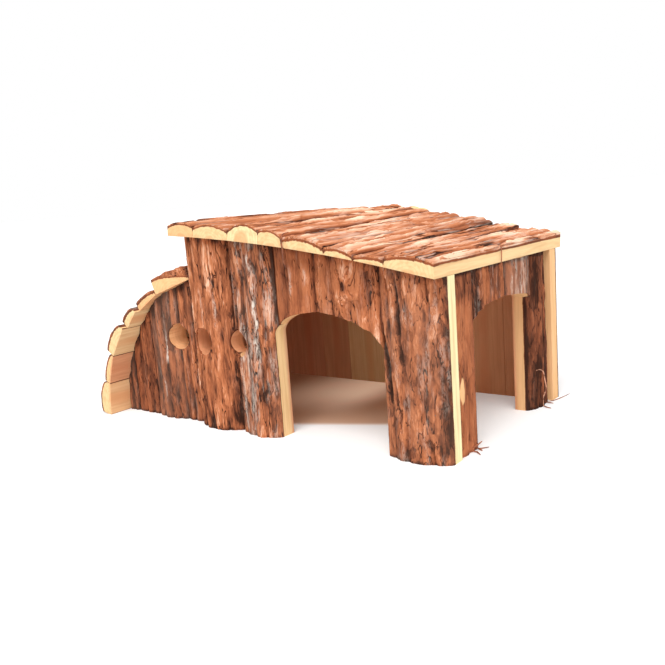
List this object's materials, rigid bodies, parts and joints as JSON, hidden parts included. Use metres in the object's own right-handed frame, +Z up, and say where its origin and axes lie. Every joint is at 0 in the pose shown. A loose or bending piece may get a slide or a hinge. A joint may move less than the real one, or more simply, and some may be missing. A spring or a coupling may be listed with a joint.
{
  "type": "wooden pet house",
  "caption": "Rustic pet hideaway nailed up from half-round slabs with the bark on: a cabin with arched doors under a sloping roof, and a rounded slatted lean-to with round windows.",
  "frame": {"origin": "centre of the outline on the ground", "axes": "+X along the front wall from the lean-to to the side door, +Y from front to back, +Z up"},
  "size_m": [0.3908, 0.2346, 0.1863],
  "materials": {
    "orange_bark": "rough reddish bark, pale sawn faces",
    "lichen_bark": "rough bark with grey and white lichen streaks",
    "grey_bark": "grey-brown bark in long strips",
    "dark_bark": "dark blocky bark",
    "roof_bark": "weathered pinkish-brown bark, pale end grain",
    "slat_wood": "pale sawn wood with thin brown bark",
    "brad_steel": "dull bright wire"
  },
  "bodies": {
    "root": {"front_lean_edge_slab": "grey_bark", "front_lean_outer_slab": "grey_bark", "front_lean_inner_slab": "grey_bark", "front_lean_strip": "grey_bark", "front_tall_slab": "orange_bark", "front_lintel_left": "orange_bark", "front_lintel_right": "orange_bark", "front_door_post": "lichen_bark", "front_corner_post": "dark_bark", "back_lean_edge_slab": "grey_bark", "back_lean_middle_slab": "grey_bark", "back_lean_inner_slab": "grey_bark", "back_tall_slab_1": "orange_bark", "back_tall_slab_2": "orange_bark", "back_tall_slab_3": "orange_bark", "back_tall_slab_4": "orange_bark", "back_tall_slab_5": "orange_bark", "back_corner_post": "dark_bark", "side_front_post": "orange_bark", "side_lintel_front": "dark_bark", "side_lintel_middle": "dark_bark", "side_lintel_back": "dark_bark", "side_back_post": "dark_bark", "gable_slab": "grey_bark", "roof_slab_1": "roof_bark", "roof_slab_2": "roof_bark", "roof_slab_3": "roof_bark", "roof_slab_4": "roof_bark", "roof_slab_5": "roof_bark", "roof_slab_6": "roof_bark", "roof_slab_7": "roof_bark", "roof_slab_8": "roof_bark", "lean_to_slat_1": "slat_wood", "lean_to_slat_2": "slat_wood", "lean_to_slat_3": "slat_wood", "lean_to_slat_4": "slat_wood", "lean_to_slat_5": "slat_wood", "lean_to_slat_6": "slat_wood", "roof_front_brads": "brad_steel", "roof_back_brads": "brad_steel", "roof_side_brads": "brad_steel", "lean_to_front_brads": "brad_steel", "lean_to_back_brads": "brad_steel", "front_corner_brads": "brad_steel", "back_corner_brads": "brad_steel", "gable_brads": "brad_steel"}
  },
  "joints": []
}
